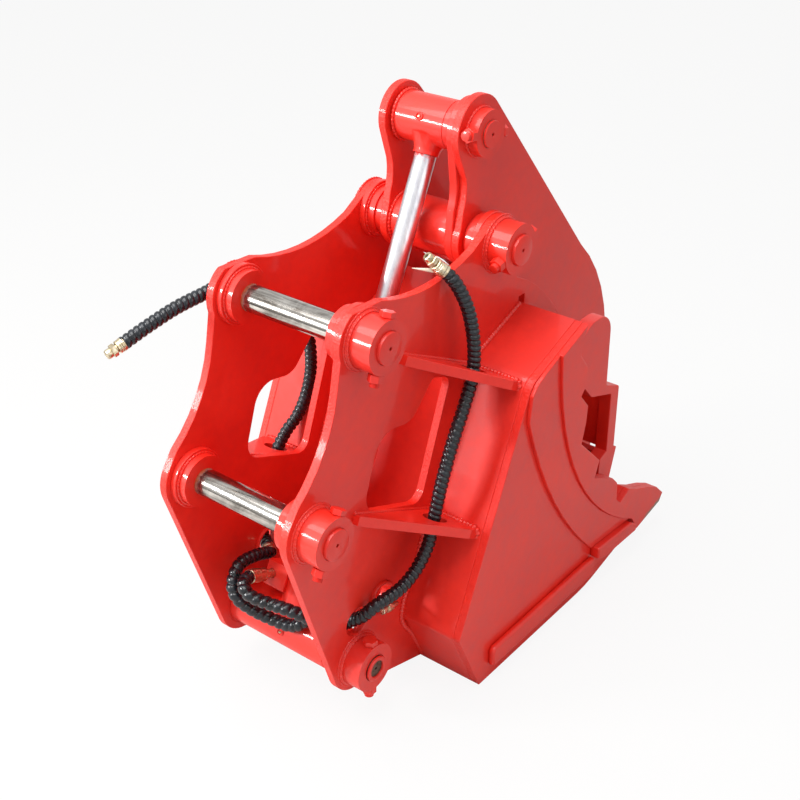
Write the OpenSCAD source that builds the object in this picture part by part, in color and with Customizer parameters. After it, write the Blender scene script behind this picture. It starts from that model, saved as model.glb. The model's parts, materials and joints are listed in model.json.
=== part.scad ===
// Grapple bucket for a small excavator: a welded bucket with a hydraulic clamping jaw.
// X runs along the pins, +Y points out of the mouth, +Z is up, and the bucket stands on its flat bottom.

/* [Mounting pins] */
// Diameter of every pivot and mounting pin
pin_d = 50; // [40:1:60]
// Clear gap between the mounting bosses, where the dipper arm goes
dipper_gap = 212; // [190:2:240]
// Horizontal offset of the lower mounting pin from the upper one
lower_pin_dy = -143; // [-170:1:-120]
// Vertical offset of the lower mounting pin from the upper one
lower_pin_dz = -305; // [-330:1:-290]
// Outer diameter of the mounting bosses
boss_d = 96; // [90:1:104]
// Length of a boss from its inner face to its outer face
boss_l = 92; // [84:1:100]

/* [Ears] */
// Thickness of an ear plate
ear_t = 16; // [12:1:20]
// Distance from the symmetry plane to the inside of an ear plate
ear_in = 134; // [128:1:142]
// Plate left round each pin at the edge of an ear
ear_rim = 16; // [12:1:20]
// Thickness of the doubler rings round the bosses
ring_t = 12; // [8:1:14]
// Thickness of the four gussets between the ears and the back
brace_t = 18; // [14:1:22]

/* [Bucket] */
// Width over the side plates
body_w = 576; // [560:2:620]
// Thickness of a side plate
side_t = 16; // [12:1:20]
// Thickness of the curved back plate
shell_t = 14; // [10:1:18]
// Height of the upper mounting pin above the ground
pin_height = 775; // [775:1:790]
// Thickness of the crescent cheek plates
cheek_t = 8; // [6:1:10]
// Thickness of the serrated mouth plates
mouth_t = 6; // [5:1:9]
// Thickness of the wear strips along the bottom of the sides
strip_t = 14; // [10:1:18]
// Height of the wear strips
strip_h = 44; // [36:1:50]
// Thickness of the corner wear blocks
block_t = 22; // [16:1:26]
// Thickness of the cutting edge
edge_t = 26; // [20:1:30]

/* [Jaw] */
// Distance from the jaw pivot to the rod pin
lever = 198; // [190:1:206]
// Thickness of each of the four jaw plates
jaw_t = 16; // [12:1:18]
// Distance from the symmetry plane to the inside of the inner jaw plates
jaw_in = 67; // [64:1:70]
// Thickness of the jaw cross plates
cross_t = 14; // [10:1:18]
// Clearance between the outer tines and the inside of the side plates
tine_gap = 10; // [6:1:20]
// Thickness of an outer tine
tine_t = 28; // [20:1:30]

/* [Cylinder] */
// Rod diameter
rod_d = 40; // [36:1:45]
// Barrel outer diameter
barrel_d = 83; // [76:1:90]
// Barrel bore
bore_d = 65; // [60:1:68]
// Distance from the base pin to the open end of the barrel
barrel_l = 615; // [600:5:635]
// Outer diameter of the cylinder eyes
eye_d = 89; // [86:1:94]
// Free play round the rod pin in the rod eye
eye_play = 10.5; // [10.5:0.5:11]

/* [Hoses] */
// Outer diameter of a hose with its spiral guard
hose_d = 25; // [20:1:28]
// Diameter of the holes in the gussets that the hoses pass through
hose_hole_d = 46; // [40:1:52]
// Diameter of the hole in the right ear plate that its hose passes through
ear_hole_d = 58; // [54:1:62]
// Outer diameter of the hose guide rings in the ear plates
guide_d = 68; // [64:1:70]

/* [Hidden] */
$fn = 64;
// Angle of one step along a rounded corner
arc_step = 8;

// Pin centres as [y, z] from the upper mounting pin
upper_at = [0, 0];
lower_at = [lower_pin_dy, lower_pin_dz];
base_at = [-40, -645];
jaw_at = [382, 38];
rod_at = jaw_at + lever * [sin(0.5), cos(0.5)];

pin_r = pin_d / 2;
boss_in = dipper_gap / 2;
boss_r = boss_d / 2;
boss_out = boss_in + boss_l;
// Clearance of a running fit, of a fixed fit, and between plates that pass through each other
run_gap = 0.05;
fit_gap = 0.1;
slot_gap = 0.3;
ear_out = ear_in + ear_t;
side_out = body_w / 2;
side_in = side_out - side_t;
jaw_out = jaw_in + 2 * jaw_t;
tine_out = side_in - tine_gap;
eye_r = eye_d / 2;

// Direction and length of the cylinder at rest
cyl_dir = (rod_at - base_at) / norm(rod_at - base_at);
cyl_len = norm(rod_at - base_at);
cyl_tilt = atan2(cyl_dir[0], cyl_dir[1]);

// Front of the jaw and back of the lower ear, which set the middle of the outline
jaw_front_y = 896;
ear_back_y = lower_at[0] - boss_r - ear_rim - 2;
upper_pin_y = -(jaw_front_y + ear_back_y) / 2;
ground_z = -pin_height;

// Places a child that is drawn from the upper mounting pin in the frame of the bucket
module in_frame() translate([0, upper_pin_y, pin_height]) children();

// A plate cut to an outline of [y, z] points, from x to x + t
module plate(x, t) translate([x, 0, 0]) rotate([90, 0, 90]) linear_extrude(t) children();

// A plate on the right or, for side = -1, its mirror image on the left
module side_plate_at(side, x, t) mirror([side < 0 ? 1 : 0, 0, 0]) plate(x, t) children();

// A round bar along X at a pin centre
module bar(at, x0, x1, r) translate([x0, at[0], at[1]]) rotate([0, 90, 0]) cylinder(h = x1 - x0, r = r);

// A tube along X at a pin centre
module tube(at, x0, x1, r, hole_r) difference() {
  bar(at, x0, x1, r);
  bar(at, x0 - 1, x1 + 1, hole_r);
}

function unit(v) = v / norm(v);
function turned(v, a) = [v[0] * cos(a) - v[1] * sin(a), v[0] * sin(a) + v[1] * cos(a)];
function flat(p) = [p[0], p[1]];
function cross2(a, b) = a[0] * b[1] - a[1] * b[0];

// The corner p of an outline, rounded to the radius r
function corner(a, p, b, r) = r <= 0 ? [p] :
  let (u = unit(a - p), v = unit(b - p), half = acos(u * v) / 2, c = p + unit(u + v) * r / sin(half),
    s = p + u * r / tan(half) - c, sweep = (180 - 2 * half) * (cross2(u, v) > 0 ? -1 : 1),
    n = max(2, ceil(abs(sweep) / arc_step)))
  [for (i = [0:n]) c + turned(s, sweep * i / n)];

// A closed outline from corners [y, z, radius]
function outline(c) = let (n = len(c)) [for (i = [0:n - 1])
  each corner(flat(c[(i + n - 1) % n]), flat(c[i]), flat(c[(i + 1) % n]), c[i][2])];

// Points of an arc about c from angle a to angle b
function arc(c, r, a, b) = let (n = max(2, ceil(abs(b - a) / arc_step)))
  [for (i = [0:n]) c + r * [cos(a + (b - a) * i / n), sin(a + (b - a) * i / n)]];

// Points of the arc that runs from p through q to s
function arc3(p, q, s, n = 8) =
  let (d = 2 * (cross2(p, q) + cross2(q, s) + cross2(s, p)),
    c = [(p * p) * (q[1] - s[1]) + (q * q) * (s[1] - p[1]) + (s * s) * (p[1] - q[1]),
      (p * p) * (s[0] - q[0]) + (q * q) * (p[0] - s[0]) + (s * s) * (q[0] - p[0])] / d,
    side = cross2(q - p, s - p) > 0 ? 1 : -1,
    u = p - c, v = s - c, raw = atan2(cross2(u, v), u * v),
    sweep = side * raw > 0 ? raw : raw + side * 360)
  [for (i = [0:n]) c + turned(u, sweep * i / n)];

// An open path of [y, z, radius] moved t to its left
function left_of(path, t) = let (n = len(path)) [for (i = [0:n - 1])
  let (p = flat(path[i]), a = unit(flat(path[min(i + 1, n - 1)]) - flat(path[min(i, n - 2)])),
    b = unit(flat(path[max(i, 1)]) - flat(path[max(i - 1, 0)])),
    na = [-a[1], a[0]], nb = [-b[1], b[0]], m = p + t * (na + nb) / (1 + na * nb), r = path[i][2])
  [m[0], m[1], r > 0 ? max(1, r + (cross2(b, a) > 0 ? -t : t)) : 0]];

function reversed(l) = [for (i = [len(l) - 1:-1:0]) l[i]];

// Outside of the back plate, from the top lip round the back to the foot of the cutting edge
shell_path = [[459, -107, 0], [295, -169, 40], [89, -622, 12], [159, ground_z, 0], [548, ground_z, 260],
  [690, ground_z + 34, 0]];
lip = flat(shell_path[0]);
edge_root = flat(shell_path[5]);

// Serrated mouth edge of the sides, from the front fin up to the top lip
mouth_edge = [[738, -724], [836, -704], [848, -686], [817, -656], [772, -632], [724, -612], [684, -590],
  [648, -606], [631, -590], [627, -545], [607, -524], [528, -482], [542, -446], [464, -370], [476, -325],
  [478, -290], [450, -258], [470, -235], [466, -200], [438, -165], [440, -140]];

// Back edge of the cheek plate and the joint between it and the serrated mouth plate
cheek_back = arc3([282, -240], [380, -455], [549, -671]);
cheek_front = arc3([374, -139], [434, -395], [712, -684], 12);
strip_top = -698;
strip_ends = [186, 559];
tip_y = 815;

module side_plate(side) color("firebrick") in_frame()
  side_plate_at(side, side_in, side_t)
    polygon(concat(outline(concat([[lip[0], lip[1], 0]], [for (i = [1:4]) shell_path[i]],
      [[edge_root[0], edge_root[1], 0]])), mouth_edge));

module shell() color("red") in_frame() difference() {
  plate(-side_in, 2 * side_in) polygon(outline(concat(shell_path, reversed(left_of(shell_path, shell_t)))));
  for (side = [-1, 1]) translate([side * (ear_in + ear_t / 2), 0, 0])
    translate([-ear_t / 2 - slot_gap, slot_back, -220]) cube([ear_t + 2 * slot_gap, 200, 140]);
}

module cheek_plate(side) color("firebrick") in_frame()
  side_plate_at(side, side_out, cheek_t)
    polygon(concat([[374, -139], [333, -155], [303, -170], [288, -188]], cheek_back,
      reversed([for (i = [0:len(cheek_front) - 1]) cheek_front[i]])));

module mouth_plate(side) color("firebrick") in_frame()
  side_plate_at(side, side_out, cheek_t + mouth_t)
    polygon(concat([lip], cheek_front, mouth_edge));

module wear_strip(side) color("red") in_frame()
  side_plate_at(side, side_out, strip_t) polygon(outline([[strip_ends[0], strip_top - strip_h, 0],
    [strip_ends[1], strip_top - strip_h, 0], [strip_ends[1], strip_top, 0], [strip_ends[0], strip_top, 12]]));

module wear_block(side) color("red") in_frame()
  side_plate_at(side, side_out, block_t) polygon(outline([[strip_ends[1], -700, 6], [590, -711, 6],
    [728, -716, 8], [718, -697, 8], [697, -683.4, 6], [strip_ends[1], -672.2, 4]]));

module cutting_edge() color("red") in_frame()
  plate(-side_in, 2 * side_in) polygon([edge_root + [slot_gap, 0], [tip_y - 57, ground_z + 50],
    [tip_y, ground_z + 68], [tip_y, ground_z + 73], [tip_y - 61, ground_z + 50 + edge_t],
    edge_root + [-6, edge_t]]);

// Ears: rounded at each pin, hollowed between the pins, and welded along the back plate
slot_back = 345;
ear_r = boss_r + ear_rim;
ear_top_r = boss_r + 6;
window = [[-14, -334, 38], [150, -402, 26], [238, -172, 20], [184, -152, 12], [124, -214, 44], [34, -196, 48]];
ear_outline = concat(
  [[154, -768], [89, -622]],
  corner([89, -622], [295, -169], lip, 40),
  [[slot_back, -150.1], [slot_back, -200]],
  arc3([380, -262], [490, -316], [594, -276], 6),
  arc3([612, -216], [536, -112], [443, -50], 6),
  arc(jaw_at, ear_top_r, -20, 130),
  arc3([300, 52], [168, 29], [44, 53], 8),
  arc(upper_at, ear_r, 118, 196),
  arc3([-72, -70], [-98, -145], [-176, -238], 6),
  arc(lower_at, ear_r + 2, 140, 196),
  arc(base_at, ear_r, 198, 262),
  []);
hose_hole_at = [-38, -560];
guide_at = [30, -547];
guide_r = guide_d / 2;

module ear_plate(side) color("red") in_frame()
  side_plate_at(side, ear_in, ear_t) difference() {
    polygon(ear_outline);
    polygon(outline(window));
    for (at = [upper_at, lower_at, base_at, jaw_at]) translate(at) circle(r = boss_r + slot_gap);
    translate(guide_at) circle(r = guide_r + slot_gap);
    if (side > 0) translate(hose_hole_at) circle(d = ear_hole_d);
    translate([452, -116]) square([20, 22]);
  }

// Bosses: the right ones are long and hold a bolt, the left ones end just outside the ear
cap_r = pin_r + 3.5;
cap_l = 4;
bolt_r = 8;
bolt_back = 13;
far_out = ear_out + 6;
module bolt_hole(at, x, tilt) translate([x, at[0], at[1]]) rotate([-tilt, 0, 0])
  cylinder(h = 3 * boss_r, r = bolt_r + fit_gap, center = true);

module boss_pair(at, x0, x1, tilt, cap = cap_r) {
  difference() {
    bar(at, x0, x1, boss_r);
    bar(at, x0 - 1, x1 + 1, pin_r + fit_gap);
    bar(at, x1 - cap_l, x1 + 1, cap + 1.2);
    bolt_hole(at, x1 - bolt_back, tilt);
  }
  difference() {
    bar(at, -far_out, -x0, boss_r);
    bar(at, -far_out - 1, 1 - x0, pin_r + fit_gap);
  }
}

// Where each pin is, where its right end is, and how far its bolt leans towards the mouth
upper_end = [upper_at, boss_out, 18];
lower_end = [lower_at, boss_out, 28];
base_end = [base_at, boss_out - 5, 3];
jaw_end = [jaw_at, boss_out - 3, 75];

module mount_pin_bosses() color("red") in_frame() {
  for (e = [upper_end, lower_end]) boss_pair(e[0], boss_in, e[1], e[2]);
}
module base_pin_bosses() color("red") in_frame()
  boss_pair(base_end[0], ear_in, base_end[1], base_end[2], pin_r);
module jaw_pin_bosses() color("red") in_frame() boss_pair(jaw_end[0], boss_in, jaw_end[1], jaw_end[2]);

module boss_rings() color("red") in_frame() for (side = [0, 1]) mirror([side, 0, 0]) {
  for (at = [upper_at, lower_at, jaw_at]) tube(at, ear_in - ring_t, ear_in, ear_top_r + 2, boss_r + slot_gap);
  for (at = [upper_at, lower_at, jaw_at, base_at])
    tube(at, ear_out, ear_out + 4, boss_r + 5, boss_r + slot_gap);
}
module hose_guides() color("red") in_frame() for (side = [0, 1]) mirror([side, 0, 0])
  tube(guide_at, ear_in - 6, ear_out + 6, guide_r, guide_r - 5);

// A mounting or pivot pin with a wider cap let into the right boss
module pin(end, cap = cap_r) difference() {
  union() {
    bar(end[0], -far_out, end[1], pin_r);
    bar(end[0], end[1] - cap_l + fit_gap, end[1] + 2, cap);
  }
  bolt_hole(end[0], end[1] - bolt_back, end[2]);
  bar(end[0], end[1] - 3, end[1] + 3, 3);
}
module upper_pin() color("silver") in_frame() pin(upper_end);
module lower_pin() color("silver") in_frame() pin(lower_end);
module base_pin() color("silver") in_frame() pin(base_end, pin_r);
module jaw_pin() color("silver") in_frame() pin(jaw_end);

// Retaining bolts: hexagon head on one side of the boss and a nut on the other
head_h = 10;
nut_h = 13;
hex_r = 13.8;
module bolt(at, x, r, tilt) translate([x, at[0], at[1]]) rotate([-tilt, 0, 0]) {
  translate([0, 0, -r - 20]) cylinder(h = 2 * r + 20.2, r = bolt_r);
  translate([0, 0, r + 0.2]) rotate(30) cylinder(h = head_h, r = hex_r, $fn = 6);
}
module nut(at, x, r, tilt) translate([x, at[0], at[1]]) rotate([-tilt, 0, 0]) difference() {
  translate([0, 0, -r - nut_h - 0.3]) rotate(30) cylinder(h = nut_h, r = hex_r, $fn = 6);
  translate([0, 0, -r - nut_h - 1]) cylinder(h = nut_h + 2, r = bolt_r + fit_gap);
}
pin_ends = [upper_end, lower_end, base_end, jaw_end];
module pin_bolts() color("red") in_frame() for (e = pin_ends) bolt(e[0], e[1] - bolt_back, boss_r, e[2]);
module pin_nuts() color("red") in_frame() for (e = pin_ends) nut(e[0], e[1] - bolt_back, boss_r, e[2]);

// Gussets: a pair of triangular plates from the ears to the back plate, with a hole for each hose
brace_out = side_out - 26;
brace_hole_x = (ear_out + brace_out) / 2 - 8;
module brace(front, back, hole_y) color("red") in_frame() for (side = [0, 1]) mirror([side, 0, 0])
  translate([0, back[0], back[1]]) rotate([-atan2(front[1] - back[1], back[0] - front[0]), 0, 0])
    difference() {
      translate([0, 0, -brace_t]) linear_extrude(brace_t)
        polygon([[ear_out, 0], [brace_out, 0], [brace_out, -22], [ear_out + 14, -norm(front - back)],
          [ear_out, -norm(front - back)]]);
      translate([brace_hole_x, -hole_y, -brace_t - 1]) cylinder(h = brace_t + 2, d = hose_hole_d);
    }
module brace_upper() brace([95.2, -65.6], [295.2, -169.6], 62);
module brace_lower() brace([-38.6, -321.7], [177.4, -426.7], 52);

// Jaw plates: two on the right, one on the left
jaw_far = jaw_in + jaw_t;
jaw_back = arc3([760, -105], [862, -245], [jaw_front_y, -400], 6);
jaw_rear = arc3([450, -60], [590, -180], [642, -345], 8);
function jaw_outline(top_r) = concat(
  arc(rod_at, top_r, 40, 200),
  arc3([345, 160], [346, 130], [338, 98], 4),
  arc(jaw_at, 58, 150, 270),
  jaw_rear,
  [[642, -500], [696, ground_z + 163], [838, ground_z + 111], [862, ground_z + 107], [884, -560]],
  reversed(jaw_back));
module jaw_plate(side, x, top_r) color("firebrick") in_frame() side_plate_at(side, x, jaw_t) difference() {
  polygon(jaw_outline(top_r));
  translate(jaw_at) circle(r = bush_r);
  translate(rod_at) circle(r = pin_r + fit_gap);
}
module jaw_doubler() color("red") in_frame() side_plate_at(1, jaw_in, jaw_t) difference() {
  polygon(concat(arc(rod_at, 58, 20, 200), arc3([336, 160], [338, 130], [330, 98], 4),
    arc(jaw_at, 58, 165, 270), [[470, -62], [560, -60], [580, 40]]));
  translate(jaw_at) circle(r = bush_r);
  translate(rod_at) circle(r = pin_r + fit_gap);
}
bush_r = pin_r + 6;
bush_l = 20;
module jaw_hub() color("red") in_frame() tube(jaw_at, -jaw_in, jaw_in, 50, bush_r);
module jaw_bushes() color("darkgoldenrod") in_frame() {
  tube(jaw_at, jaw_in - bush_l, jaw_out, bush_r - fit_gap, pin_r + run_gap);
  tube(jaw_at, -jaw_far, bush_l - jaw_in, bush_r - fit_gap, pin_r + run_gap);
}
module thrust_washers() color("silver") in_frame() {
  tube(jaw_at, jaw_out + slot_gap, boss_in, 44, pin_r + slot_gap);
  tube(jaw_at, -boss_in, -jaw_far - slot_gap, 44, pin_r + slot_gap);
}
rod_boss_out = 122;
rod_boss_r = 43;
rod_bolt_x = rod_boss_out - 10.5;
rod_bolt_tilt = 100;
module rod_pin_boss() color("red") in_frame() difference() {
  bar(rod_at, jaw_out, rod_boss_out, rod_boss_r);
  bar(rod_at, jaw_out - 1, rod_boss_out + 1, pin_r + fit_gap);
  bolt_hole(rod_at, rod_bolt_x, rod_bolt_tilt);
}
module rod_pin() color("silver") in_frame() difference() {
  bar(rod_at, -jaw_far - 3, rod_boss_out + 1, pin_r);
  bar(rod_at, rod_boss_out - 3, rod_boss_out + 2, 3);
  bolt_hole(rod_at, rod_bolt_x, rod_bolt_tilt);
}
module rod_pin_bolt() color("red") in_frame() bolt(rod_at, rod_bolt_x, rod_boss_r, rod_bolt_tilt);
module rod_pin_nut() color("red") in_frame() nut(rod_at, rod_bolt_x, rod_boss_r, rod_bolt_tilt);
spacer_t = 20;
module rod_pin_spacer() color("red") in_frame()
  tube(rod_at, jaw_in - spacer_t, jaw_in - slot_gap, eye_r, pin_r + slot_gap);

// A flat cross plate centred at [y, z], from x0 to x1, h long and leaning by tilt
module slab(at, tilt, x0, x1, h) translate([x0, at[0], at[1]]) rotate([tilt, 0, 0])
  translate([0, -cross_t / 2, -h / 2]) cube([x1 - x0, cross_t, h]);
tine_in = tine_out - tine_t;
cross_spans = [[-tine_in, -jaw_far], [-jaw_in, jaw_far], [jaw_out, tine_in]];
module jaw_cross_plates() color("red") in_frame() {
  for (s = cross_spans) {
    slab([655, -412], 0, s[0], s[1], 154);
    slab([684, -560], 20, s[0], s[1], 100);
  }
  slab([474, -64], -116, -jaw_in, jaw_in, 130);
}
module jaw_tine(side) color("red") in_frame() side_plate_at(side, tine_in, tine_t)
  polygon(outline([[504, -152, 50], [504, -262, 48], [562, -324, 14], [642, -352, 6], [642, -490, 2],
    [617, -498, 3], [612, -560, 14], [690, ground_z + 115, 14], [776, ground_z + 90, 5],
    [776, ground_z + 105, 5], [700, ground_z + 149, 12], [663, -568, 12], [684, -498, 3], [672, -494, 2],
    [672, -345, 8], [619, -322, 8], [616, -152, 46]]));
module jaw_lip() color("red") in_frame() slab([840, ground_z + 135], 30, -jaw_in, jaw_far, 56);

// Cylinder: drawn along +Z from the base pin, then laid along its line
base_grease_tilt = 100;
rod_grease_tilt = 92;
module on_cylinder() in_frame() translate([0, base_at[0], base_at[1]]) rotate([-cyl_tilt, 0, 0]) children();
module barrel() color("red") on_cylinder() difference() {
  translate([0, 0, eye_r - 4]) cylinder(h = barrel_l - eye_r + 4, r = barrel_d / 2);
  translate([0, 0, eye_r + 20]) cylinder(h = barrel_l, r = bore_d / 2);
  rotate([0, 90, 0]) cylinder(h = 300, r = eye_r + slot_gap, center = true);
}
module base_eye() color("red") on_cylinder() difference() {
  rotate([0, 90, 0]) translate([0, 0, -ear_in + 1]) cylinder(h = 2 * ear_in - 2 - 32, r = eye_r);
  rotate([0, 90, 0]) cylinder(h = 300, r = bush_r, center = true);
  rotate([base_grease_tilt, 0, 0]) translate([-2, 0, eye_r - 16]) cylinder(h = 30, r = 5);
}
module base_bush() color("darkgoldenrod") on_cylinder() rotate([0, 90, 0]) difference() {
  translate([0, 0, -ear_in + 1]) cylinder(h = 2 * ear_in - 2 - 32, r = bush_r - fit_gap);
  cylinder(h = 300, r = pin_r + run_gap, center = true);
}
module base_spacer() color("red") in_frame()
  tube(base_at, ear_in - 32.5, ear_in - slot_gap, eye_r, pin_r + slot_gap);
module gland() color("dimgray") on_cylinder() difference() {
  translate([0, 0, barrel_l - 50]) cylinder(h = 56, r = bore_d / 2 - fit_gap);
  translate([0, 0, barrel_l - 60]) cylinder(h = 80, r = rod_d / 2 + run_gap);
}
module wiper() color("black") on_cylinder() difference() {
  translate([0, 0, barrel_l + 6]) cylinder(h = 5, r = rod_d / 2 + 7);
  translate([0, 0, barrel_l]) cylinder(h = 20, r = rod_d / 2 + run_gap);
}
neck_l = 62;
module rod() color("silver") on_cylinder() translate([0, 0, cyl_len - barrel_l - 40])
  cylinder(h = barrel_l + 40 - neck_l, r = rod_d / 2);
module piston() color("dimgray") on_cylinder() translate([0, 0, cyl_len - barrel_l - 40]) difference() {
  cylinder(h = 45, r = bore_d / 2 - 0.4);
  cylinder(h = 200, r = rod_d / 2 + run_gap, center = true);
}
module piston_ring() color("black") on_cylinder() translate([0, 0, cyl_len - barrel_l + 6]) difference() {
  cylinder(h = 8, r = bore_d / 2 - 0.4);
  cylinder(h = 20, r = rod_d / 2 + run_gap, center = true);
}
module rod_eye() color("red") on_cylinder() translate([0, 0, cyl_len]) difference() {
  union() {
    rotate([0, 90, 0]) translate([0, 0, -jaw_in + 0.5])
      cylinder(h = 2 * jaw_in - spacer_t - 1, r = eye_r);
    rotate_extrude() polygon(concat([[0, -neck_l + 0.3], [rod_d / 2 + 4, -neck_l + 0.3]],
      arc3([rod_d / 2 + 4, -neck_l + 6], [rod_d / 2 + 8, -44], [40, -28], 6), [[0, -28]]));
  }
  rotate([0, 90, 0]) cylinder(h = 300, r = pin_r + eye_play, center = true);
  rotate([rod_grease_tilt, 0, 0]) translate([-4, 0, eye_r - 14]) cylinder(h = 30, r = 5);
}

// Ports: a block on each side of the barrel near the base, and a pipe up to the rod end
port_h = 88;
block_x = 72;
pipe_r = 7;
pipe_at = [57, 8];
pipe_top = barrel_l - 67;
stem_r = 9;
module side_block(x0, y0, y1, z0, z1) difference() {
  translate([x0, y0, z0]) cube([block_x - 22, y1 - y0, z1 - z0]);
  cylinder(h = barrel_l, r = barrel_d / 2);
}
port_stem_l = 46;
module port_blocks() color("red") {
  difference() {
    on_cylinder() side_block(-block_x, -43, 12, port_h - 24, port_h + 24);
    in_frame() along(hose_inner_right_route[0], hose_inner_right_route[1])
      cylinder(h = port_stem_l + 4, r = stem_r + 0.4);
  }
  on_cylinder() difference() {
    side_block(22, -17, 24, port_h - 28, port_h + 20);
    translate([elbow_at[0], -9, elbow_at[2]]) rotate([90, 0, 0]) cylinder(h = 20, r = stem_r + 0.4);
  }
  on_cylinder() side_block(22, -12, 26, pipe_top, pipe_top + 36);
}
elbow_at = [60, -30, 81];
module port_fittings() color("darkgoldenrod") {
  in_frame() fitting(hose_inner_right_route[0], hose_inner_right_route[1], port_stem_l);
  on_cylinder() {
    translate(elbow_at) sphere(r = 12);
    translate(elbow_at) rotate([-90, 0, 0]) cylinder(h = 20.5, r = stem_r);
  }
  in_frame() let (r = reversed(hose_inner_left_route)) fitting(r[0], r[1], 18);
}
module rod_end_pipe() color("red") on_cylinder() translate([pipe_at[0], pipe_at[1], port_h + 20])
  cylinder(h = pipe_top - port_h - 20, r = pipe_r);

// Hoses, with their points as [x, y, z] from the upper mounting pin, chosen by hand
hose_r = hose_d / 2;
hose_right_route = [[118, -50, -578], [142, -38, -560], [158, -30, -548], [177, -12, -524], [187, 42, -516],
  [192, 84, -494], [197, 111, -455], [199, 124, -412], [203, 142, -335], [204, 174, -258], [203, 208, -200],
  [201, 234, -149], [199, 245, -90], [190, 248, -28], [176, 240, 17], [163, 230, 41], [149, 222, 54]];
hose_left_route = [[-118, 14, -546], [-142, 30, -546], [-158, 41, -548], [-177, 66, -526], [-188, 98, -475],
  [-194, 127, -416], [-196, 160, -383], [-191, 190, -357], [-184, 210, -317], [-180, 223, -266],
  [-182, 227, -214], [-190, 229, -180], [-198, 238, -148], [-199, 248, -114], [-196, 242, -78],
  [-191, 218, -50], [-186, 180, -32], [-181, 138, -18], [-177, 95, -8], [-175, 58, 2], [-174, 22, 8],
  [-172, -9, 9], [-172, -40, 6], [-183, -102, -3], [-196, -156, -20], [-209, -204, -39]];
hose_inner_right_route = [[-58, -77, -530], [-58, -95, -521.5], [-52, -116, -515], [-40, -131, -516],
  [-22, -133, -526], [10, -119, -537], [42, -110, -539], [74, -92, -553], [94, -73, -574], [110, -54, -584],
  [117.6, -50.2, -578.3]];
hose_inner_left_route = [[-117.4, 13.6, -546], [-106, 6, -546], [-101, -40, -526], [-94, -88, -516],
  [-82, -119, -534], [-66, -126, -556], [-44, -114, -579], [-14, -94, -600], [22, -84, -604], [45, -79, -594],
  [56, -66, -582], [58, -48, -570]];

function tangents(p) = [for (i = [0:len(p) - 1]) unit(p[min(i + 1, len(p) - 1)] - p[max(i - 1, 0)])];
function across(u, t) = unit(u - (u * t) * t);
function sideways(t, u, i = 0) = i == len(t) ? [] :
  let (w = across(u, t[i])) concat([w], sideways(t, w, i + 1));

// A round tube swept along the points p
module hose(p, r, sides = 10) {
  t = tangents(p);
  w = sideways(t, [0.3, 0.2, 1]);
  rings = [for (i = [0:len(p) - 1], a = [0:sides - 1])
    p[i] + r * (w[i] * cos(360 * a / sides) + cross(t[i], w[i]) * sin(360 * a / sides))];
  last = (len(p) - 1) * sides;
  polyhedron(rings, concat(
    [[for (a = [0:sides - 1]) a]],
    [for (i = [0:len(p) - 2], a = [0:sides - 1]) let (b = (a + 1) % sides, k = i * sides)
      [k + b, k + a, k + sides + a, k + sides + b]],
    [[for (a = [sides - 1:-1:0]) last + a]]));
}

// Turns +Z along the line that comes from one point to the next, and starts at the latter
module along(at, from) let (d = unit(at - from)) translate(at) rotate([0, acos(d[2]), atan2(d[1], d[0])])
  children();

// A brass hose end: a crimped collar that meets the hose at the point at, and a stem that leads away from it
module fitting(at, from, l) along(at, from) {
  cylinder(h = min(l, 12), r = hose_r);
  cylinder(h = l, r = stem_r);
}
nipple_l = 34;
module hose_nipples() color("darkgoldenrod") in_frame() for (p = [hose_right_route, hose_left_route])
  let (n = len(p)) fitting(p[n - 1], p[n - 2], nipple_l);
module hose_right() color("black") in_frame() hose(hose_right_route, hose_r);
module hose_left() color("black") in_frame() hose(hose_left_route, hose_r);
module hose_inner_right() color("black") in_frame() hose(hose_inner_right_route, hose_r);
module hose_inner_left() color("black") in_frame() hose(hose_inner_left_route, hose_r);

shell();
side_plate(1);  // side_plate_right
side_plate(-1);  // side_plate_left
cheek_plate(1);  // cheek_plate_right
cheek_plate(-1);  // cheek_plate_left
mouth_plate(1);  // mouth_plate_right
mouth_plate(-1);  // mouth_plate_left
wear_strip(1);  // wear_strip_right
wear_strip(-1);  // wear_strip_left
wear_block(1);  // wear_block_right
wear_block(-1);  // wear_block_left
cutting_edge();
ear_plate(1);  // ear_plate_right
ear_plate(-1);  // ear_plate_left
mount_pin_bosses();
base_pin_bosses();
jaw_pin_bosses();
boss_rings();
hose_guides();
brace_upper();
brace_lower();
upper_pin();
lower_pin();
base_pin();
jaw_pin();
pin_bolts();
pin_nuts();
jaw_plate(1, jaw_far, 66);  // jaw_plate_right
jaw_plate(-1, jaw_in, 60);  // jaw_plate_left
jaw_doubler();
jaw_hub();
jaw_bushes();
thrust_washers();
rod_pin();
rod_pin_boss();
rod_pin_bolt();
rod_pin_nut();
rod_pin_spacer();
jaw_cross_plates();
jaw_tine(1);  // jaw_tine_right
jaw_tine(-1);  // jaw_tine_left
jaw_lip();
barrel();
base_eye();
base_bush();
base_spacer();
gland();
wiper();
port_blocks();
port_fittings();
rod_end_pipe();
rod();
piston();
piston_ring();
rod_eye();
hose_right();
hose_left();
hose_inner_right();
hose_inner_left();
hose_nipples();
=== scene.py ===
# Grapple bucket: red enamelled weldments, chromed pins and guarded hoses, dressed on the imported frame
import bpy
import bmesh
import json
import math
from mathutils import Matrix, Vector

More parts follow.
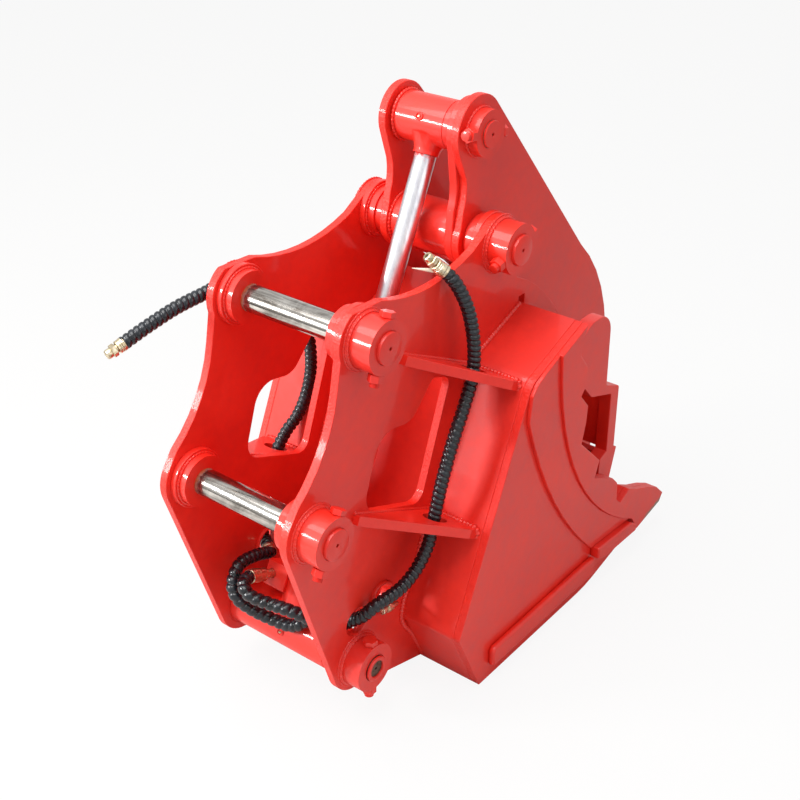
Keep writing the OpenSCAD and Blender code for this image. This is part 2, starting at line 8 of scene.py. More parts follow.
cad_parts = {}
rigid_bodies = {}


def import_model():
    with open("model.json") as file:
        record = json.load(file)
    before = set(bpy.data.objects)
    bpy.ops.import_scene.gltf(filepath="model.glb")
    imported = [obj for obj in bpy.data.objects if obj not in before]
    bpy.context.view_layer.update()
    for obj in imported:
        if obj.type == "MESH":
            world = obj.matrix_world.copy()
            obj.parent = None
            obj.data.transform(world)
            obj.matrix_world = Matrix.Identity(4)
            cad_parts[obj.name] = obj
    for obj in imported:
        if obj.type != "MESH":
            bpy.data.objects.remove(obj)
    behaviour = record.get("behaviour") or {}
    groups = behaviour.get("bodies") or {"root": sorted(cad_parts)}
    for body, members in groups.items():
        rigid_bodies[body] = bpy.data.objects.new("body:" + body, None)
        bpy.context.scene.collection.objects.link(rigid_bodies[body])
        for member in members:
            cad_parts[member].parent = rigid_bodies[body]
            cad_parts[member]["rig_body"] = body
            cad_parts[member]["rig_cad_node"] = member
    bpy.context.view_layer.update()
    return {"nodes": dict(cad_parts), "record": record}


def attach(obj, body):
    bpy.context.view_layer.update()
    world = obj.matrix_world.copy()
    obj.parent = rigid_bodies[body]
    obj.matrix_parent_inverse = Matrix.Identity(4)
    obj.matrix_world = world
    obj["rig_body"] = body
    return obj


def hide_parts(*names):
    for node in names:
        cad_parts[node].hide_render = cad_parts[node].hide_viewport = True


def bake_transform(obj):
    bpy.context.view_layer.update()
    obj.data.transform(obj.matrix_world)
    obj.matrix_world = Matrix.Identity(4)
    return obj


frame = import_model()
nodes = frame["nodes"]
bodyOfNode = {n: b for b, members in frame["record"]["behaviour"]["bodies"].items() for n in members}
slotOfNode = {s["node"]: s["material_slot"] for s in frame["record"]["subparts"]}
print("frame loaded:", len(nodes), "nodes")


def at(x, y, z):  # metres in the frame from millimetres measured at the upper mounting pin
    return Vector((x / 1000, (y - 343.5) / 1000, (z + 775) / 1000))


# Pin centres as (y, z) in the same millimetres
upperPin, lowerPin, basePin, jawPin, rodPin = (0, 0), (-143, -305), (-40, -645), (382, 38), (383.7, 236)
bothSides = ((1, "Right"), (-1, "Left"))

# The camera that was fitted to the pin centres in the photograph
cameraView = {"place": (1.37702, -1.79628, 1.7631), "azimuth": 38.49, "elevation": 30.09, "roll": -0.26,
              "lens": 59.44, "sensor": 36}
az, el = math.radians(cameraView["azimuth"]), math.radians(cameraView["elevation"])
right = Vector((math.cos(az), math.sin(az), 0))
back = Vector((math.sin(az) * math.cos(el), -math.cos(az) * math.cos(el), math.sin(el)))
turn = Matrix((right, back.cross(right), back)).transposed().to_4x4()
roll = Matrix.Rotation(math.radians(cameraView["roll"]), 4, "Z")
bpy.ops.object.camera_add()
camera = bpy.context.object
camera.name = "photoCamera"
camera.matrix_world = Matrix.Translation(cameraView["place"]) @ turn @ roll
camera.data.lens, camera.data.sensor_width = cameraView["lens"], cameraView["sensor"]
bpy.context.scene.camera = camera


def hexColor(code):  # sRGB hex to linear
    parts = [int(code[i:i + 2], 16) / 255 for i in (1, 3, 5)]
    return tuple(c / 12.92 if c <= 0.04045 else ((c + 0.055) / 1.055) ** 2.4 for c in parts) + (1.0,)


def newMaterial(name):
    material = bpy.data.materials.new(name)
    material.use_nodes = True
    return material, material.node_tree, material.node_tree.nodes["Principled BSDF"]


def addNode(tree, kind, settings=None, links=None):  # an input takes a value or a node's output
    node = tree.nodes.new(kind)
    for key, value in (settings or {}).items():
        setattr(node, key, value)
    for socket, value in (links or {}).items():
        if isinstance(value, bpy.types.NodeSocket):
            tree.links.new(value, node.inputs[socket])
        else:
            node.inputs[socket].default_value = value
    return node


asFloat, asColor = {"data_type": "FLOAT"}, {"data_type": "RGBA"}  # the two kinds of mix

# Glossy red enamel sprayed over welded plate: the eye gets a saturated orange red, small hard highlights
# that the orange peel breaks up, and slow dents of the plate. Flame-cut edges are duller and gouged under the
# paint. worn adds bare steel where the fin tips drag.
enamelLook = {"bright": "#ea230b", "deep": "#d8190a", "roughness": (0.5, 0.62), "blotchMm": 150, "fineMm": 18,
              "fineShare": 0.35, "range": (0.36, 0.64), "peelMm": 3.2, "peelHeight": 0.000025, "waveMm": 45,
              "waveHeight": 0.0004, "coat": 0.42, "coatRoughness": 0.08, "cutCoat": 0.12, "cutRoughness": 0.5,
              "gougeMm": 4, "gougeHeight": 0.0014}
wornLook = {"steel": "#6d6c5c", "roughness": 0.55, "normal": (0, -0.2, 0.98), "offset": 0.0289,
            "edge": (0.004, 0.013), "fromY": (0.41, 0.45), "noiseMm": 9, "noiseDepth": 0.012}


def makeEnamel(name, look, worn=None):
    material, tree, shader = newMaterial(name)
    coords = addNode(tree, "ShaderNodeTexCoord").outputs["Object"]
    blotch = addNode(tree, "ShaderNodeTexNoise", None,
                     {"Vector": coords, "Scale": 1000 / look["blotchMm"], "Detail": 6, "Roughness": 0.6})
    fine = addNode(tree, "ShaderNodeTexNoise", None,
                   {"Vector": coords, "Scale": 1000 / look["fineMm"], "Detail": 5, "Roughness": 0.6})
    both = addNode(tree, "ShaderNodeMix", asFloat,
                   {"Factor": look["fineShare"], "A": blotch.outputs["Fac"], "B": fine.outputs["Fac"]})
    share = addNode(tree, "ShaderNodeMapRange", None,
                    {"Value": both.outputs["Result"], "From Min": look["range"][0],
                     "From Max": look["range"][1]})
    color = addNode(tree, "ShaderNodeMix", asColor,
                    {0: share.outputs["Result"], 6: hexColor(look["deep"]), 7: hexColor(look["bright"])})
    low, high = look["roughness"]
    rough = addNode(tree, "ShaderNodeMapRange", None,
                    {"Value": share.outputs["Result"], "To Min": low, "To Max": high})
    peel = addNode(tree, "ShaderNodeTexNoise", None,
                   {"Vector": coords, "Scale": 1000 / look["peelMm"], "Detail": 2})
    wave = addNode(tree, "ShaderNodeTexNoise", None,
                   {"Vector": coords, "Scale": 1000 / look["waveMm"], "Detail": 2})
    bumpWave = addNode(tree, "ShaderNodeBump", None,
                       {"Distance": look["waveHeight"], "Height": wave.outputs["Fac"]})
    bumpPeel = addNode(tree, "ShaderNodeBump", None,
                       {"Distance": look["peelHeight"], "Height": peel.outputs["Fac"],
                        "Normal": bumpWave.outputs["Normal"]})
    cut = addNode(tree, "ShaderNodeAttribute", {"attribute_name": "cutEdge"}).outputs["Fac"]
    gouge = addNode(tree, "ShaderNodeTexNoise", None,
                    {"Vector": coords, "Scale": 1000 / look["gougeMm"], "Detail": 3})
    depth = addNode(tree, "ShaderNodeMath", {"operation": "MULTIPLY"}, {0: gouge.outputs["Fac"], 1: cut})
    bumpCut = addNode(tree, "ShaderNodeBump", None,
                      {"Distance": look["gougeHeight"], "Height": depth.outputs[0],
                       "Normal": bumpPeel.outputs["Normal"]})
    tree.links.new(bumpCut.outputs["Normal"], shader.inputs["Normal"])
    coat = addNode(tree, "ShaderNodeMapRange", None,
                   {"Value": cut, "To Min": look["coat"], "To Max": look["cutCoat"]})
    tree.links.new(coat.outputs["Result"], shader.inputs["Coat Weight"])
    shader.inputs["Coat Roughness"].default_value = look["coatRoughness"]
    dull = addNode(tree, "ShaderNodeMix", asFloat,
                   {0: cut, 2: rough.outputs["Result"], 3: look["cutRoughness"]})
    colorOut, roughOut = color.outputs[2], dull.outputs[0]
    if worn:
        planeShift = worn["offset"] + worn["noiseDepth"] / 2
        above = addNode(tree, "ShaderNodeVectorMath", {"operation": "DOT_PRODUCT"},
                        {0: coords, 1: worn["normal"]})
        chips = addNode(tree, "ShaderNodeTexNoise", None,
                        {"Vector": coords, "Scale": 1000 / worn["noiseMm"], "Detail": 5})
        rise = addNode(tree, "ShaderNodeMath", {"operation": "MULTIPLY_ADD"},
                       {0: chips.outputs["Fac"], 1: -worn["noiseDepth"], 2: above.outputs["Value"]})
        near = addNode(tree, "ShaderNodeMapRange", None,
                       {"Value": rise.outputs[0], "From Min": worn["edge"][0] - planeShift,
                        "From Max": worn["edge"][1] - planeShift, "To Min": 1, "To Max": 0})
        split = addNode(tree, "ShaderNodeSeparateXYZ", None, {0: coords})
        ahead = addNode(tree, "ShaderNodeMapRange", None,
                        {"Value": split.outputs["Y"], "From Min": worn["fromY"][0],
                         "From Max": worn["fromY"][1]})
        bare = addNode(tree, "ShaderNodeMath", {"operation": "MULTIPLY"},
                       {0: near.outputs["Result"], 1: ahead.outputs["Result"]})
        steel = addNode(tree, "ShaderNodeMix", asColor,
                        {0: bare.outputs[0], 6: colorOut, 7: hexColor(worn["steel"])})
        scuffed = addNode(tree, "ShaderNodeMix", asFloat,
                          {0: bare.outputs[0], 2: roughOut, 3: worn["roughness"]})
        colorOut, roughOut = steel.outputs[2], scuffed.outputs[0]
    tree.links.new(colorOut, shader.inputs["Base Color"])
    tree.links.new(roughOut, shader.inputs["Roughness"])
    return material


# Turned or plated metal: marks drawn out along the piece, a faint stain, and a film that starts at some
# distance along one axis, such as overspray on the rod or rust beside a boss
def makeMetal(name, look):
    material, tree, shader = newMaterial(name)
    coords = addNode(tree, "ShaderNodeTexCoord").outputs["Object"]
    drawn = addNode(tree, "ShaderNodeMapping", None,
                    {"Vector": coords, "Scale": tuple(1000 / mm for mm in look["streakMm"])})
    streak = addNode(tree, "ShaderNodeTexNoise", None,
                     {"Vector": drawn.outputs["Vector"], "Scale": 1, "Detail": 6, "Roughness": 0.65})
    stain = addNode(tree, "ShaderNodeTexNoise", None,
                    {"Vector": coords, "Scale": 1000 / look["stainMm"], "Detail": 6, "Roughness": 0.7,
                     "Distortion": 0.6})
    both = addNode(tree, "ShaderNodeMix", asFloat,
                   {"Factor": 0.5, "A": streak.outputs["Fac"], "B": stain.outputs["Fac"]})
    share = addNode(tree, "ShaderNodeMapRange", None,
                    {"Value": both.outputs["Result"], "From Min": look["range"][0],
                     "From Max": look["range"][1]})
    color = addNode(tree, "ShaderNodeMix", asColor,
                    {0: share.outputs["Result"], 6: hexColor(look["dark"]), 7: hexColor(look["light"])})
    smooth, dull = look["roughness"]
    rough = addNode(tree, "ShaderNodeMapRange", None,
                    {"Value": share.outputs["Result"], "To Min": dull, "To Max": smooth})
    bump = addNode(tree, "ShaderNodeBump", None, {"Distance": look["grain"], "Height": streak.outputs["Fac"]})
    tree.links.new(bump.outputs["Normal"], shader.inputs["Normal"])
    colorOut, roughOut, film = color.outputs[2], rough.outputs["Result"], look.get("film")
    shader.inputs["Metallic"].default_value = 1.0
    if film:
        split = addNode(tree, "ShaderNodeSeparateXYZ", None, {0: coords})
        along = addNode(tree, "ShaderNodeMath", {"operation": "ABSOLUTE"}, {0: split.outputs[film["axis"]]})
        reach = addNode(tree, "ShaderNodeMapRange", None,
                        {"Value": along.outputs[0], "From Min": film["from"], "From Max": film["to"]})
        specks = addNode(tree, "ShaderNodeTexNoise", None,
                         {"Vector": coords, "Scale": 1000 / film["speckMm"], "Detail": 6, "Roughness": 0.7})
        cover = addNode(tree, "ShaderNodeMath", {"operation": "ADD"},
                        {0: reach.outputs["Result"], 1: specks.outputs["Fac"]})
        share = addNode(tree, "ShaderNodeMapRange", None,
                        {"Value": cover.outputs[0], "From Min": film["edge"][0], "From Max": film["edge"][1]})
        coated = addNode(tree, "ShaderNodeMix", asColor,
                         {0: share.outputs["Result"], 6: colorOut, 7: hexColor(film["color"])})
        matt = addNode(tree, "ShaderNodeMix", asFloat,
                       {0: share.outputs["Result"], 2: roughOut, 3: film["roughness"]})
        metal = addNode(tree, "ShaderNodeMapRange", None,
                        {"Value": share.outputs["Result"], "To Min": 1, "To Max": 0})
        tree.links.new(metal.outputs["Result"], shader.inputs["Metallic"])
        colorOut, roughOut = coated.outputs[2], matt.outputs[0]
    tree.links.new(colorOut, shader.inputs["Base Color"])
    tree.links.new(roughOut, shader.inputs["Roughness"])
    return material


# Moulded rubber or plastic: one colour that drifts a little, with a fine grain
def makeMoulded(name, look):
    material, tree, shader = newMaterial(name)
    coords = addNode(tree, "ShaderNodeTexCoord").outputs["Object"]
    drift = addNode(tree, "ShaderNodeTexNoise", None,
                    {"Vector": coords, "Scale": 1000 / look["driftMm"], "Detail": 5, "Roughness": 0.6})
    share = addNode(tree, "ShaderNodeMapRange", None,
                    {"Value": drift.outputs["Fac"], "From Min": 0.35, "From Max": 0.68})
    color = addNode(tree, "ShaderNodeMix", asColor,
                    {0: share.outputs["Result"], 6: hexColor(look["dark"]), 7: hexColor(look["light"])})
    tree.links.new(color.outputs[2], shader.inputs["Base Color"])
    low, high = look["roughness"]
    rough = addNode(tree, "ShaderNodeMapRange", None,
                    {"Value": share.outputs["Result"], "To Min": low, "To Max": high})
    tree.links.new(rough.outputs["Result"], shader.inputs["Roughness"])
    grain = addNode(tree, "ShaderNodeTexNoise", None,
                    {"Vector": coords, "Scale": 1000 / look["grainMm"], "Detail": 3})
    bump = addNode(tree, "ShaderNodeBump", None, {"Distance": look["grain"], "Height": grain.outputs["Fac"]})
    tree.links.new(bump.outputs["Normal"], shader.inputs["Normal"])
    return material


chromeLook = {"light": "#c4c0ba", "dark": "#5d5751", "roughness": (0.09, 0.24), "streakMm": (120, 7, 7),
              "stainMm": 60, "range": (0.4, 0.6), "grain": 0.00001}
bossRust = {"axis": "X", "from": 0.088, "to": 0.112, "edge": (0.9, 1.25), "speckMm": 14, "color": "#a14a22",
            "roughness": 0.6}
rodSpray = {"axis": "Z", "from": 0.915, "to": 0.98, "edge": (1.08, 1.3), "speckMm": 15, "color": "#d5281c",
            "roughness": 0.3}
rodLook = {"light": "#e3e3e6", "dark": "#bcbcc4", "roughness": (0.28, 0.36), "streakMm": (9, 9, 300),
           "stainMm": 160, "film": rodSpray}
steelLook = {"light": "#a59c90", "dark": "#5f5348", "roughness": (0.28, 0.5), "streakMm": (90, 6, 6),
             "stainMm": 18, "range": (0.35, 0.65), "grain": 0.00002}
brassLook = {"light": "#e8ddc4", "dark": "#9b855c", "roughness": (0.2, 0.4), "streakMm": (6, 6, 6),
             "stainMm": 12, "range": (0.35, 0.65), "grain": 0.00001}
rustLook = {"light": "#7d675a", "dark": "#43362e", "roughness": (0.35, 0.6), "streakMm": (8, 8, 8),
            "stainMm": 10, "range": (0.35, 0.65), "grain": 0.00004}
guardLook = {"dark": "#05080c", "light": "#101720", "driftMm": 16, "roughness": (0.22, 0.36),
             "grainMm": 3, "grain": 0.00004}
rubberLook = {"dark": "#0b0b0b", "light": "#171615", "driftMm": 20, "roughness": (0.5, 0.65),
              "grainMm": 2, "grain": 0.00003}
nylonLook = {"dark": "#bdb4a0", "light": "#d9d0bc", "driftMm": 8, "roughness": (0.3, 0.45),
             "grainMm": 2, "grain": 0.00001}
materialOf = {
    "red_enamel": makeEnamel("redEnamelOnPlate", enamelLook),
    # hard chrome on steel: near mirror, with long stains
    "chrome": makeMetal("hardChromeOnPin", {**chromeLook, "film": bossRust}),
    # turned steel: grey brown with a dull shine
    "steel": makeMetal("turnedSteel", steelLook),
    # turned brass with a pale zinc bloom
    "brass": makeMetal("turnedBrass", brassLook),
    # wound polyamide guard: near black with a blue sheen on its ridges
    "hose_guard": makeMoulded("spiralGuardPolyamide", guardLook),
    # nitrile rubber: dull black
    "seal": makeMoulded("nitrileRubber", rubberLook),
}
# bare steel shows at the fin tips, the rod has paint mist near its eye, the base pin's face has rusted,
# and the tie is pale nylon
wornEnamel = makeEnamel("redEnamelWornAtTip", enamelLook, wornLook)
sprayedRod = makeMetal("hardChromeOnRod", {**chromeLook, **rodLook})
rustyFace = makeMetal("rustedPinFace", rustLook)
paleTie = makeMoulded("paleNylonTie", nylonLook)
print("materials made:", len(materialOf) + 4)


def deselectAll():
    if bpy.context.object and bpy.context.object.mode != "OBJECT":
        bpy.ops.object.mode_set(mode="OBJECT")
    bpy.ops.object.select_all(action="DESELECT")


def makeActive(piece):
    deselectAll()
    bpy.context.view_layer.objects.active = piece
    piece.select_set(True)


def dress(piece, slot, material=None):
    piece.data.materials.clear()
    piece.data.materials.append(material or materialOf[slot])


def finishPiece(piece, body, slot, material=None):
    dress(piece, slot, material)
    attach(piece, body)
    return piece


def smoothByAngle(piece, degrees):
    makeActive(piece)
    bpy.ops.object.shade_smooth_by_angle(angle=math.radians(degrees))


def applyModifiers(piece):
    makeActive(piece)
    for modifier in list(piece.modifiers):
        bpy.ops.object.modifier_apply(modifier=modifier.name)


softEdge = {"merge": 0.00002, "flatDegrees": 0.6, "bevelDegrees": 32, "smoothDegrees": 38, "edgeOnBelow": 0.5}


def softened(nodeName, width, segments, material=None):  # a rounded copy of a CAD node, which stands for it
    makeActive(nodes[nodeName])
    bpy.ops.object.duplicate()
    piece = bpy.context.object
    piece.name = piece.data.name = nodeName + "Painted"
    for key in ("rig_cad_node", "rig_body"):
        if key in piece:
            del piece[key]
    piece.parent = None
    bpy.ops.object.mode_set(mode="EDIT")
    bpy.ops.mesh.select_all(action="SELECT")
    bpy.ops.mesh.remove_doubles(threshold=softEdge["merge"])
    bpy.ops.mesh.dissolve_limited(angle_limit=math.radians(softEdge["flatDegrees"]))
    bpy.ops.object.mode_set(mode="OBJECT")
    bevel = piece.modifiers.new("edgeRound", "BEVEL")
    bevel.width, bevel.segments, bevel.angle_limit = width, segments, math.radians(softEdge["bevelDegrees"])
    bevel.limit_method, bevel.use_clamp_overlap, bevel.loop_slide = "ANGLE", True, False
    piece.modifiers.new("evenNormals", "WEIGHTED_NORMAL").keep_sharp = True
    smoothByAngle(piece, softEdge["smoothDegrees"])
    applyModifiers(piece)
    if "plate" in nodeName:  # the faces round the outline of a plate, which the enamel reads as cut edges
        mark = piece.data.attributes.new("cutEdge", "FLOAT", "FACE")
        edgeOn = [abs(face.normal.x) < softEdge["edgeOnBelow"] for face in piece.data.polygons]
        mark.data.foreach_set("value", [1.0 if on else 0.0 for on in edgeOn])
    finishPiece(piece, bodyOfNode[nodeName], slotOfNode[nodeName], material)
    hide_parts(nodeName)
    return piece


def smoothRoute(points, step):  # points along a smooth curve through the given ones, about one step apart
    pts = [Vector(p) for p in points]
    ends = [2 * pts[0] - pts[1]] + pts + [2 * pts[-1] - pts[-2]]
    route = []
    for i in range(1, len(ends) - 2):
        a, b, c, d = ends[i - 1:i + 3]
        n = max(2, round((c - b).length / step))
        bend, twist = 2 * a - 5 * b + 4 * c - d, 3 * b - a - 3 * c + d
        for t in (k / n for k in range(n)):
            route.append(0.5 * ((2 * b) + (c - a) * t + bend * t * t + twist * t ** 3))
    return route + [pts[-1]]


def pieceFrom(build, name):
    mesh = bpy.data.meshes.new(name)
    build.normal_update()
    build.to_mesh(mesh)
    build.free()
    piece = bpy.data.objects.new(name, mesh)
    bpy.context.scene.collection.objects.link(piece)
    return piece


def tubeAlong(name, route, radiusAt, sides, closed=False):  # radiusAt takes distance along and angle round
    build = bmesh.new()
    n = len(route)
    tangents = [((route[(i + 1) % n] if closed or i + 1 < n else route[i]) -
                 (route[i - 1] if closed or i else route[i])).normalized() for i in range(n)]
    side = tangents[0].orthogonal().normalized()
    turns = [2 * math.pi * k / sides for k in range(sides)]
    rings, distance = [], 0.0
    for i, (p, t) in enumerate(zip(route, tangents)):
        distance += (p - route[i - 1]).length if i else 0
        side = (side - side.dot(t) * t).normalized()
        other = t.cross(side)
        ring = [p + radiusAt(distance, a) * (side * math.cos(a) + other * math.sin(a)) for a in turns]
        rings.append([build.verts.new(corner) for corner in ring])
    for i in range(n if closed else n - 1):
        for k in range(sides):
            a, b = rings[i], rings[(i + 1) % n]
            build.faces.new((a[k], a[(k + 1) % sides], b[(k + 1) % sides], b[k]))
    if not closed:
        build.faces.new(rings[0][::-1])
        build.faces.new(rings[-1])
    for face in build.faces:
        face.smooth = True
    return pieceFrom(build, name)


# Spins (radius, height) pairs in mm round an axis; a closed profile gives a ring
def turned(name, profile, place, axis, steps=48, closed=False):
    build = bmesh.new()
    verts = [build.verts.new((r / 1000, 0, h / 1000)) for r, h in profile]
    edges = [build.edges.new(pair) for pair in zip(verts, verts[1:] + verts[:1] if closed else verts[1:])]
    bmesh.ops.spin(build, geom=verts + edges, cent=(0, 0, 0), axis=(0, 0, 1), angle=2 * math.pi, steps=steps,
                   use_merge=True)
    bmesh.ops.remove_doubles(build, verts=build.verts, dist=0.000001)
    bmesh.ops.recalc_face_normals(build, faces=build.faces)
    build.transform(Matrix.Translation(place) @ Vector(axis).to_track_quat("Z", "Y").to_matrix().to_4x4())
    piece = pieceFrom(build, name)
    smoothByAngle(piece, 30)
    return piece


def joined(name, pieces):
    deselectAll()
    for piece in pieces:
        piece.select_set(True)
    bpy.context.view_layer.objects.active = pieces[0]
    bpy.ops.object.join()
    pieces[0].name = pieces[0].data.name = name
    return pieces[0]


# Hoses, first because they set how far the model spreads. The points are the routes of part.scad, but the
# free end of the near hose leans about 20 mm further to the mounting side, as in the photograph.
hoseGuard = {"radius": 0.0126, "ridge": 0.0027, "pitch": 0.0108, "flat": 0.86, "sides": 26, "step": 0.0013,
             "innerPitch": 0.0145, "sharpness": 0.34, "diameter": 0.025}
hoseRoutes = {
    "hose_right": [(118, -50, -578), (142, -38, -560), (158, -30, -548), (177, -12, -524),
                   (187, 42, -516), (192, 84, -494), (197, 111, -455), (199, 124, -412),
                   (203, 142, -335), (204, 174, -258), (203, 208, -200), (201, 234, -149),
                   (199, 238, -90), (190.3, 232, -27.5), (176.4, 220, 18), (163.4, 209, 42.5),
                   (150, 199, 56.5)],
    "hose_left": [(-118, 14, -546), (-142, 30, -546), (-158, 41, -548), (-177, 66, -526),
                  (-188, 98, -475), (-194, 127, -416), (-196, 160, -383), (-191, 190, -357),
                  (-184, 210, -317), (-180, 223, -266), (-182, 227, -214), (-190, 229, -180),
                  (-198, 238, -148), (-199, 248, -114), (-196, 242, -78), (-191, 218, -50),
                  (-186, 180, -32), (-181, 138, -18), (-177, 95, -8), (-175, 58, 2), (-174, 22, 8),
                  (-172, -9, 9), (-172, -40, 6), (-183, -102, -3), (-196, -156, -20), (-209, -204, -39)],
    "hose_inner_right": [(-58, -77, -530), (-58, -95, -521.5), (-52, -116, -515), (-40, -131, -516),
                         (-22, -133, -526), (10, -119, -537), (42, -110, -539), (74, -92, -553),
                         (94, -73, -574), (110, -54, -584), (117.6, -50.2, -578.3)],
    "hose_inner_left": [(-117.4, 13.6, -546), (-106, 6, -546), (-101, -40, -526), (-94, -88, -516),
                        (-82, -119, -534), (-66, -126, -556), (-44, -114, -579), (-14, -94, -600),
                        (22, -84, -604), (45, -79, -594), (56, -66, -582), (58, -48, -570)],
}
# where an inner hose leaves the barrel, and where it reaches the ear
innerEnds = {"hose_inner_right": (at(-40, -90, -560), at(110, -60, -575)),
             "hose_inner_left": (at(40, -80, -590), at(-110, 0, -546))}


def guardRadius(distance, angle, pitch):  # one flat strip wound round the hose, with a groove beside it
    phase = (distance / pitch + angle / (2 * math.pi)) % 1.0
    rise = max(0.0, math.sin(math.pi * min(1.0, phase / hoseGuard["flat"]))) ** hoseGuard["sharpness"]
    return hoseGuard["radius"] - hoseGuard["ridge"] * (1 - rise)


hosePieces, hoseLength = {}, {}
for nodeName, points in hoseRoutes.items():
    route = smoothRoute([at(*p) for p in points], hoseGuard["step"])
    pitch = hoseGuard["innerPitch"] if nodeName in innerEnds else hoseGuard["pitch"]
    piece = tubeAlong(nodeName + "Guard", route, lambda d, a: guardRadius(d, a, pitch), hoseGuard["sides"])
    dress(piece, "hose_guard")
    if nodeName in innerEnds:  # these bend when the cylinder swings, so they are left on no body
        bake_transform(piece)
    else:
        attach(piece, bodyOfNode[nodeName])
    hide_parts(nodeName)
    hosePieces[nodeName] = (piece, route)
    hoseLength[nodeName] = sum((b - a).length for a, b in zip(route, route[1:]))

# Crimped end of a hose: collar with two grooves, hexagon, and a tube that is open at its end. A dark rubber
# disc set deep in the bore is painted shade, so the bore reads black
ferrule = [(0, -2), (12.2, -2), (12.4, 0), (12.4, 3), (11.5, 3.7), (12.1, 4.5), (12.1, 6.2), (11.3, 7),
           (11.9, 7.8), (11.9, 11), (10.2, 12), (7.6, 13), (7.6, 16), (7.9, 23.5), (8.7, 25), (8.8, 31),
           (8.2, 33.2), (6.6, 34.4), (3.7, 34.4), (3.3, 33.6), (3.3, 14), (0, 14)]
ferruleHex = [(7.2, 14.5), (10.4, 14.5), (11.7, 15.5), (11.7, 22.5), (10.4, 23.5), (7.2, 23.5)]
# painted shade: a dark disc near the mouth of the bore, standing for the shadow inside the tube
paintedBoreShade = [(0, 31.5), (3.25, 31.5), (3.25, 32.5), (0, 32.5)]
nearEndAxis = (-0.36, -0.56, 0.74)  # the near end looks a little towards the viewer
endPieces = {}
for nodeName in ("hose_right", "hose_left"):
    side = nodeName.split("_")[1].title()
    place = hosePieces[nodeName][1][-1]
    axis = at(*hoseRoutes[nodeName][-1]) - at(*hoseRoutes[nodeName][-2])
    axis = (Vector(nearEndAxis) if side == "Right" else axis).normalized()
    metal = joined("hoseEnd" + side, [turned("ferrule" + side, ferrule, place, axis),
                                      turned("hex" + side, ferruleHex, place, axis, 6, True)])
    finishPiece(metal, bodyOfNode[nodeName], "brass")
    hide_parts("hose_nipples")
    shade = turned("paintedBoreShade" + side, paintedBoreShade, place, axis, 24)
    endPieces[nodeName] = [metal, finishPiece(shade, bodyOfNode[nodeName], "seal")]


def groovedRadius(sleeve):  # the crest of a sleeve, with a groove turned into it at each pitch
    def radiusAt(distance, angle):
        return sleeve["crest"] if distance % sleeve["pitch"] < sleeve["land"] else sleeve["root"]

    return radiusAt


# A grooved sleeve over the last of the near guard, and the pointed tail of the tie that holds it
endSleeve = {"rows": 13, "crest": 0.0131, "root": 0.0123, "pitch": 0.0052, "land": 0.0039}
nearRoute = hosePieces["hose_right"][1]
sleeve = tubeAlong("endSleeveRight", nearRoute[-endSleeve["rows"]:], groovedRadius(endSleeve), 32)
endPieces["hose_right"].append(finishPiece(sleeve, "bucket", "brass"))
tieTail = {"shape": [(0, 0), (4.4, 0.5), (3.52, 12), (0.7, 43), (0, 44)], "axis": (-0.81, -0.57, 0.1),
           "row": 8, "shift": (-0.0078, -0.0062, -0.001)}
tail = turned("tieTailRight", tieTail["shape"], nearRoute[-tieTail["row"]] + Vector(tieTail["shift"]),
              tieTail["axis"], 16)
endPieces["hose_right"].append(finishPiece(tail, "bucket", "seal", paleTie))

print("hoses laid:", {n: round(v, 3) for n, v in hoseLength.items()})


# Every weldment, pin and bolt gets rounded edges. The sizes differ where the photograph shows a softer edge.
edgeRound = {"red_enamel": (0.0013, 2), "chrome": (0.0008, 2), "steel": (0.0008, 2), "brass": (0.0006, 2),
             "seal": (0.0006, 2), "wear_strip": (0.0055, 4), "wear_block": (0.007, 4),
             "pin_bolts": (0.0026, 3), "pin_nuts": (0.001, 2), "rod_pin_bolt": (0.0012, 2),
             "rod_pin_nut": (0.001, 2), "cutting_edge": (0.002, 3), "bosses": (0.0022, 3),
             "rod_eye": (0.002, 3), "brace": (0.003, 3)}
ownMaterial = {"side_plate_right": wornEnamel, "side_plate_left": wornEnamel, "mouth_plate_right": wornEnamel,
               "mouth_plate_left": wornEnamel, "rod": sprayedRod, "base_pin": rustyFace,
               "thrust_washers": materialOf["red_enamel"]}
for nodeName, slotName in slotOfNode.items():
    if nodeName in hoseRoutes or nodeName == "hose_nipples":
        continue
    special = [v for k, v in edgeRound.items() if k in nodeName]
    width, segments = special[0] if special else edgeRound[slotName]
    softened(nodeName, width, segments, ownMaterial.get(nodeName))
print("weldments painted")


# Pin ends as the paint gun left them: a cap with a centre hole in each right boss, a plain disc on the left
pinEnds = {"upper": (upperPin, 198), "lower": (lowerPin, 198), "jaw": (jawPin, 195), "base": (basePin, 193)}
capShape = [(3.2, 1.7), (28.45, 1.7), (28.45, -3.4), (29.0, -3.4), (28.8, 4.8), (28.3, 5.7), (27.2, 6.3),
            (4.6, 6.3), (3.2, 5.2)]
baseRing = [(16.5, 1.6), (25.2, 1.6), (25.0, 4.4), (23.6, 5.6), (18.6, 5.6), (17.0, 4.6)]
rodCap = [(3.2, 0.8), (24.7, 0.8), (24.7, 3.6), (23.6, 4.9), (4.4, 4.9), (3.2, 4.0)]
farCap = [(0, -0.6), (24.2, -0.6), (24.2, 0.5), (23.2, 1.3), (0, 1.3)]
farBossX, rodBossX = -156, 122
for name, (centre, x) in pinEnds.items():
    shape = baseRing if name == "base" else capShape
    finishPiece(turned(name + "PinCap", shape, at(x, *centre), (1, 0, 0), 64, True), "bucket", "red_enamel")
    farPiece = turned(name + "PinFarCap", farCap, at(farBossX, *centre), (-1, 0, 0), 64)
    finishPiece(farPiece, "bucket", "red_enamel")
finishPiece(turned("rodPinCap", rodCap, at(rodBossX, *rodPin), (1, 0, 0), 64, True), "jaw", "red_enamel")
print("pin caps fitted")


# Weld beads: a rippled round bead, half sunk in the corner that it fills
weldBead = {"step": 0.0016, "pitch": 0.0074, "ripple": 0.2, "skew": 0.8, "sides": 10}


